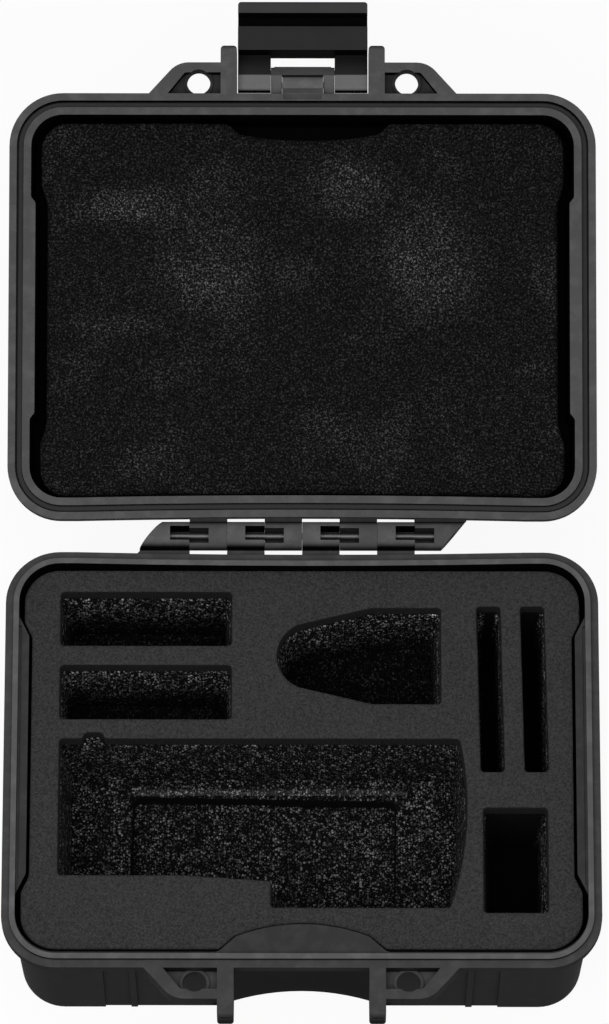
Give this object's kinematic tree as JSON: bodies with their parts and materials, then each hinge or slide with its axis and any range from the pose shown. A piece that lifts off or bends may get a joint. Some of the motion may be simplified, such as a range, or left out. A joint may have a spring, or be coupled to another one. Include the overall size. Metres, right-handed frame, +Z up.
{
  "type": "action camera case",
  "caption": "Small hard case with a hinged lid, cut foam pockets for a pocket camera, a wide front latch and padlock eyes.",
  "frame": {"origin": "centre of the flat underside of the base", "axes": "+Z up out of the open base, +Y from the latch side to the hinge, +X to the right seen from the front"},
  "size_m": [0.184, 0.3243, 0.089],
  "materials": {
    "black_shell": "satin",
    "latch_plastic": "satin",
    "base_foam": "matte",
    "lid_foam": "matte",
    "seal": "matte",
    "pin_steel": "satin"
  },
  "bodies": {
    "base": {"base_shell": "black_shell", "base_foam_sheet": "base_foam", "base_foam_upper": "base_foam", "base_foam_middle": "base_foam", "base_foam_floor": "base_foam", "hinge_pin": "pin_steel"},
    "lid": {"lid_shell": "black_shell", "lid_seal": "seal", "lid_foam": "lid_foam", "latch_link_pin": "pin_steel"},
    "link": {"latch_link": "latch_plastic"},
    "lever": {"latch_lever": "latch_plastic", "latch_lever_pin_left": "pin_steel", "latch_lever_pin_right": "pin_steel"}
  },
  "joints": [
    {"name": "lid_hinge", "type": "hinge", "parent": "base", "child": "lid", "pos_m": [0, 0.0728, 0.0545], "axis": [1, 0, 0], "range_deg": [0, 167]},
    {"name": "link_pivot", "type": "hinge", "parent": "lid", "child": "link", "pos_m": [0, 0.21436, 0.08102], "axis": [1, 0, 0], "range_deg": [0, 90]},
    {"name": "lever_pivot", "type": "hinge", "parent": "link", "child": "lever", "pos_m": [0, 0.21826, 0.08192], "axis": [1, 0, 0], "range_deg": [-6, 12]}
  ]
}
